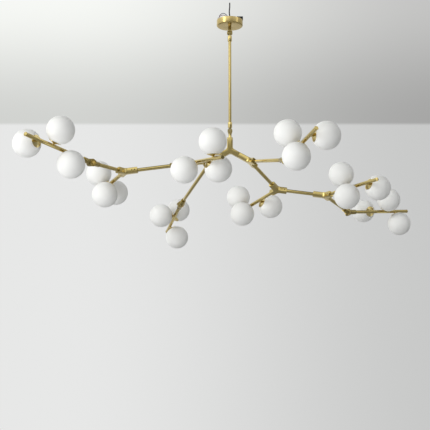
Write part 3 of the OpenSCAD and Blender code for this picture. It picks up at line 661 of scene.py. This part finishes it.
def cup_profile():
    """The cup from its foot in the tube, over the boss and the flared dish, to its floor. Inside it
    follows the globe a hair away: the height of a point is GLOBE_OUT less the root of seat^2 - r^2."""
    seat = GLOBE_R + CUP_GAP
    edge = GLOBE_OUT - math.sqrt(seat ** 2 - CUP_R ** 2)
    floor = GLOBE_OUT - math.sqrt(seat ** 2 - NECK_HOLE_R ** 2)
    radii = np.linspace(CUP_R - LIP_W, NECK_HOLE_R, 5)
    bowl = [(GLOBE_OUT - math.sqrt(seat ** 2 - r ** 2), r) for r in radii]
    horn = TUBE_R + BOSS_RISE
    foot = math.sqrt(TUBE_R ** 2 - BOSS_R ** 2) - FOOT_SUNK
    outside = [(foot, 0), (foot, BOSS_R), (horn, BOSS_R), (horn + FLARE_UP, BOSS_R + FLARE_OUT),
               (edge - RIM_T, CUP_R), (edge, CUP_R)]
    return np.vstack([rounded(outside + bowl[:1], CUP_SOFT), bowl[1:], [(floor, 0.0)]])


def dress_globes():
    """Every globe and its cup, gathered by the arm that carries them."""
    cup = upward(revolve(cup_profile(), TUBE_SIDES))
    skins = shells()
    groups = {}
    for name, start, direction, angle in FIXED + SWIVELS:
        groups.setdefault(name, []).extend(stations(start, direction, angle))
    for name, places in groups.items():
        body = "branch_frame" if name == "fixed" else "branch_" + name
        globes, cups = Piece(), Piece()
        for m in places:
            for skin in skins:
                globes.add(skin, m)
            cups.add(cup, m)
        nodes = ("fixed_globes", "fixed_cups") if name == "fixed" else ("globes_" + name, "cups_" + name)
        globes.make("opal_globes_" + name, body, OPAL, "opal_glass", nodes[:1])
        cups.make("flared_cups_" + name, body, POLISHED, "polished_brass", nodes[1:])


# Hubs ----------------------------------------------------------------------------------------
# Direction and length of the three arms in the hub's own plane, and the edge layers of its slab
ARMS = [(OPPOSITE, STEM_L), (-LEG_BEND, LEG_L), (LEG_BEND, LEG_L)]
EDGE_STEPS = 4


def hub_outline():
    """The Y in its own plane, counterclockwise: along each arm, across its end, round the crotch.

    Points along an arm stand at the two sides of each grub screw, so that a wall lies between them."""
    w = HUB_W / 2
    # The crotch's arc has its middle on the line between two arms
    out = (w + CROTCH_R) / math.sin(leg_bend)
    middle_x, middle_y = out * math.cos(leg_bend), out * math.sin(leg_bend)
    points, marks = [], []
    for angle, length in ARMS:
        m = spin(2, angle)[:2, :2]
        stops = sorted({length} | {length - g + s * GRUB_PITCH for g in GRUB_IN for s in (-1, 1)})
        near = [(x, -w) for x in stops]
        for g in GRUB_IN:
            marks.append((len(points) + stops.index(length - g - GRUB_PITCH), angle, length - g))
        far = [(x, w) for x in stops[::-1]]
        arc = np.radians(np.linspace(-90, -90 - LEG_BEND, 13))
        crotch = [(middle_x + CROTCH_R * math.cos(a), middle_y + CROTCH_R * math.sin(a)) for a in arc]
        points += [m @ q for q in near + far + crotch]
    return np.array(points), marks


def hub_surfaces():
    """The Y slab, and the bored wall round each grub screw that stands in for a piece of its side."""
    outline, marks = hub_outline()
    body = slab(outline, HUB_T, HUB_EDGE, EDGE_STEPS)
    made = [without(body, 0, [EDGE_STEPS * len(outline) + i for i, _, _ in marks])]
    w, wall = HUB_W / 2, HUB_T / 2 - HUB_EDGE
    for _, angle, x in marks:
        m = spin(2, angle)[:3, :3]
        corners = [m @ np.array([x + dx, -w, dz]) for dx, dz in
                   ((-GRUB_PITCH, -wall), (GRUB_PITCH, -wall), (GRUB_PITCH, wall), (-GRUB_PITCH, wall))]
        middle, out = m @ np.array([x, -w, 0]), m @ np.array([0, -1.0, 0])
        made.append(pierced(corners, middle, out, GRUB_R + BORE_GAP, BORE_DEPTH))
    return made, marks


def dress_hubs():
    """The seven hubs, and their grub screws with a round socket in the head."""
    surfaces, marks = hub_surfaces()
    screws = Piece()
    screw = rounded([(0, 0), (0, GRUB_R), (GRUB_L, GRUB_R), (GRUB_L, SOCKET_R),
                     (SOCKET_FLOOR, SOCKET_FLOOR_R), (SOCKET_FLOOR, 0)], SCREW_SOFT, 2)
    for name, centre, travel, leg in HUBS:
        m = hub_frame(centre, travel, leg)
        hub = Piece()
        for surface in surfaces:
            hub.add(surface, m)
        hub.make("cast_" + name, "branch_frame", HUB_SHADED_BRASS, "satin_brass", (name,), sharp=50)
        for _, angle, x in marks:
            inwards = shift(x, -HUB_W / 2 + GRUB_L + GRUB_SUNK) @ spin(2, -90)
            screws.add(revolve(screw, SCREW_SIDES), m @ spin(2, angle) @ inwards)
    screws.make("socket_grub_screws", "branch_frame", DARK_STEEL, "dark_steel", ("grub_screws",))


# Tubes ---------------------------------------------------------------------------------------
def tube(x0, x1, r=TUBE_R, sides=TUBE_SIDES):
    """A tube along X with closed, slightly rounded ends."""
    return revolve(rounded([(x0, 0), (x0, r), (x1, r), (x1, 0)], TUBE_SOFT, 2), sides)


def rod_profile(seat):
    """A plain tube, a fine groove, and a button with a soft rim."""
    end = LEG_L + ROD_L
    neck = end - BUTTON_T
    return rounded([(LEG_L - seat, 0), (LEG_L - seat, TUBE_R), (neck - GROOVE_W, TUBE_R),
                    (neck, TUBE_R - GROOVE_DEEP), (neck, BUTTON_R), (end, BUTTON_R), (end, 0)], BUTTON_SOFT, 4)


def dress_tubes():
    """The globe rods, the links from hub to hub and elbow, and the downrod."""
    rods = {}
    for name, start, direction, _ in FIXED + SWIVELS:
        seat = HUB_SEAT if name == "fixed" else ELBOW_SEAT
        rod = revolve(rod_profile(seat), TUBE_SIDES)
        rods.setdefault(name, Piece()).add(rod, along(start, direction))
    for name, piece in rods.items():
        body = "branch_frame" if name == "fixed" else "branch_" + name
        node = "fixed_rods" if name == "fixed" else "rod_" + name
        piece.make("globe_rod_" + name, body, SATIN, "satin_brass", (node,))
    # A link ends in the next hub's stem or in the neck of an elbow fork
    in_stem, in_elbow = HUB_SEAT - STEM_L, ELBOW_SEAT - LEG_L
    right = [(right_1, to_right_2, SPAN_RIGHT_2 + in_stem), (right_2, to_right_3, SPAN_RIGHT_3 + in_stem),
             (right_1, to_front_right, SPAN_FRONT_RIGHT + in_elbow),
             (right_3, to_back_right, SPAN_BACK_RIGHT + in_elbow)]
    left = [(left_1, to_left_2, SPAN_LEFT_2 + in_stem), (left_2, to_left_3, SPAN_LEFT_3 + in_stem),
            (left_1, to_back_left, SPAN_BACK_LEFT + in_elbow), (left_3, to_left, SPAN_LEFT + in_elbow)]
    for side, group in (("right", right), ("left", left)):
        piece = Piece()
        for centre, direction, end in group:
            piece.add(tube(LEG_L - HUB_SEAT, end), along(centre, direction))
        piece.make("link_tubes_" + side, "branch_frame", SATIN, "satin_brass", ("links_" + side,))
    top, bottom = UPPER_PIVOT_Z - PIVOT_NECK - DOWNROD_IN, LOWER_PIVOT_Z + PIVOT_NECK + DOWNROD_IN
    downrod = Piece().add(upward(tube(bottom, top, DOWNROD_R, DOWNROD_SIDES)))
    downrod.make("down_tube", "downrod_set", DRAWN, "satin_brass", ("downrod",))


# Canopy --------------------------------------------------------------------------------------
def dress_canopy():
    """A spun cap: straight wall, rounded bevel and a flat turned base with a hole for the nipple."""
    r, w, b, h, hole = CANOPY_R, CANOPY_WALL, CANOPY_BEVEL, CANOPY_H, NIPPLE_HOLE_R
    # The inside of the bevel is drawn in by 0.4 of the wall, so that the wall stays even
    inner = b + w * 0.4
    line = [(-h + w, hole), (-h, hole), (-h, r - b), (-h + b, r), (0, r), (0, r - w), (-h + inner, r - w),
            (-h + w, r - inner), (-h + w, hole)]
    cap = Piece().add(upward(closed_ring(rounded(line, CANOPY_SOFT, 4)[:-1], CANOPY_SIDES)))
    cap.make("spun_canopy", "canopy_set", TURNED, "satin_brass", ("canopy",), 30)


# Stage, lights and camera -------------------------------------------------------------------
# The floor's height, radius and sides, and the shares of its radius between which it fades out
FLOOR_Z, FLOOR_R, FLOOR_SIDES, FADE_FROM, FADE_TO = -4.2, 9.0, 96, 0.5, 0.95
FLOOR_LIGHT, FLOOR_DEEP = (0.46, 0.46, 0.455), (0.43, 0.43, 0.425)
# The room's walls, ceiling and ground, in the light at the left and dimmer at the right
WALL_LIGHT, WALL_DIM = (0.80, 0.805, 0.80), (0.575, 0.58, 0.575)
CEILING_LIGHT, CEILING_DIM = (0.64, 0.65, 0.63), (0.38, 0.38, 0.375)
GROUND = (0.33, 0.33, 0.325, 1.0)
# Height of the corner of wall and ceiling behind the light and on the camera's side, to a reach of one
CORNER_BACK, CORNER_FRONT = 0.2586, 0.36
# Name, degrees to the right of the camera's side, distance, height, width, tall, watts, seen in the brass
LAMPS = [("window", -50, 5.0, 0.8, 1.5, 4.5, 66, True), ("side", 66, 5.0, 0.8, 0.9, 4.5, 17, True),
         ("bounce", -34, 3.0, -2.4, 2.4, 1.6, 56, False), ("sky", -62, 4.2, 3.0, 3.0, 2.0, 24, False)]
LAMP_TINTS = {"window": (1.0, 0.99, 0.97)}


def make_stage():
    """A round pale floor under the light: points (r cos a, r sin a, floor), fading out before its rim."""
    made, shader, f = material("pale_floor", Roughness=0.9)
    where = object_place(f)
    feed(mixed(f, noise(f, where, 0.6, 2.0), FLOOR_LIGHT, FLOOR_DEEP), shader, "Base Color")
    level = f.node("ShaderNodeVectorMath", {"operation": "MULTIPLY"}, i0=where, i1=(1, 1, 0))
    away = f.node("ShaderNodeVectorMath", {"operation": "LENGTH"}, out=1, i0=level)
    feed(ranged(away, FLOOR_R * FADE_FROM, FLOOR_R * FADE_TO, 1.0, 0.0), shader, "Alpha")
    a = np.linspace(0, 2 * math.pi, FLOOR_SIDES, endpoint=False)
    rim = np.stack([FLOOR_R * np.cos(a), FLOOR_R * np.sin(a), np.full(FLOOR_SIDES, FLOOR_Z)], 1)
    mesh = bpy.data.meshes.new("floor")
    mesh.from_pydata(rim.tolist(), [], [list(range(FLOOR_SIDES))])
    mesh.materials.append(made)
    floor = bpy.data.objects.new("floor", mesh)
    bpy.context.scene.collection.objects.link(floor)


def soft_lamp(name, angle, distance, middle, width, height, watts, gloss):
    """An upright soft panel that faces the object's middle line."""
    lamp = bpy.data.lights.new(name, "AREA")
    lamp.shape, lamp.size, lamp.size_y, lamp.energy = "RECTANGLE", width, height, watts
    lamp.color = LAMP_TINTS.get(name, (1, 1, 1))
    holder = bpy.data.objects.new(name, lamp)
    bpy.context.scene.collection.objects.link(holder)
    turn = math.radians(angle)
    holder.location = (distance * math.sin(turn), -distance * math.cos(turn), middle)
    holder.rotation_euler = (math.radians(90), 0, turn)
    holder.visible_camera, holder.visible_glossy = False, gloss


def make_light():
    """A pale square room all round, read from the direction alone: across and back are its x and y,
    and height its z, each over the larger of x and y without their signs.

    Its walls are light at the left and dimmer at the right and on the camera's side. Its ceiling
    brightens upwards from the corner and darkens again overhead, and its ground is pale."""
    world = bpy.data.worlds.new("pale_room")
    bpy.context.scene.world = world
    world.use_nodes = True
    f = Field(world.node_tree, None)
    look = f.node("ShaderNodeTexCoord")
    x, y, z = (f.node("ShaderNodeSeparateXYZ", out=k, Vector=look) for k in range(3))
    reach = x.math("ABSOLUTE").math("MAXIMUM", y.math("ABSOLUTE"))
    across, back, height = (v.math("DIVIDE", reach) for v in (x, y, z))
    dim = ranged(across, -0.16, 0.25, 0.0, 1.0)
    over = height - ranged(back, 0.3, -0.3, CORNER_BACK, CORNER_FRONT)
    shade = ranged(back, 0.3, -0.8, 1.0, 0.48) * ranged(across, 0.3, 0.9, 1.0, 0.6)
    wall = scaled(mixed(f, dim, WALL_LIGHT, WALL_DIM), shade)
    rise = ranged(over, 0.0, 0.14, 1.0, 1.45) * ranged(height, 0.8, 1.7, 1.0, 0.25)
    rise = rise * ranged(back, 0.3, -0.3, 1.0, 1.6)
    ceiling = scaled(mixed(f, dim, CEILING_LIGHT, CEILING_DIM), rise)
    room = blended(f, ranged(over, -0.002, 0.002, 0.0, 1.0), wall, ceiling)
    room = blended(f, ranged(height, -0.3, -0.75, 0.0, 1.0), room, GROUND)
    f.tree.links.new(room.socket, f.tree.nodes["Background"].inputs["Color"])
    for lamp in LAMPS:
        soft_lamp(*lamp)


def make_camera():
    """The photograph's camera: its focal length in pixels over the width in pixels, times the sensor."""
    lens = bpy.data.cameras.new("photo_camera")
    lens.sensor_width, lens.lens = SENSOR_MM, LENS_PX / PHOTO_W * SENSOR_MM
    camera = bpy.data.objects.new("photo_camera", lens)
    bpy.context.scene.collection.objects.link(camera)
    camera.location = CAMERA_AT
    camera.rotation_euler = (math.radians(90 + CAMERA_PITCH), 0, 0)
    bpy.context.scene.camera = camera


# The whole scene -----------------------------------------------------------------------------
make_camera()
make_wires()
dress_nodes()
for node, width in SOFTENED.items():
    soften(node, width)
dress_globes()
dress_tubes()
dress_hubs()
dress_canopy()
make_stage()
make_light()
bpy.context.scene.view_settings.view_transform = "Standard"
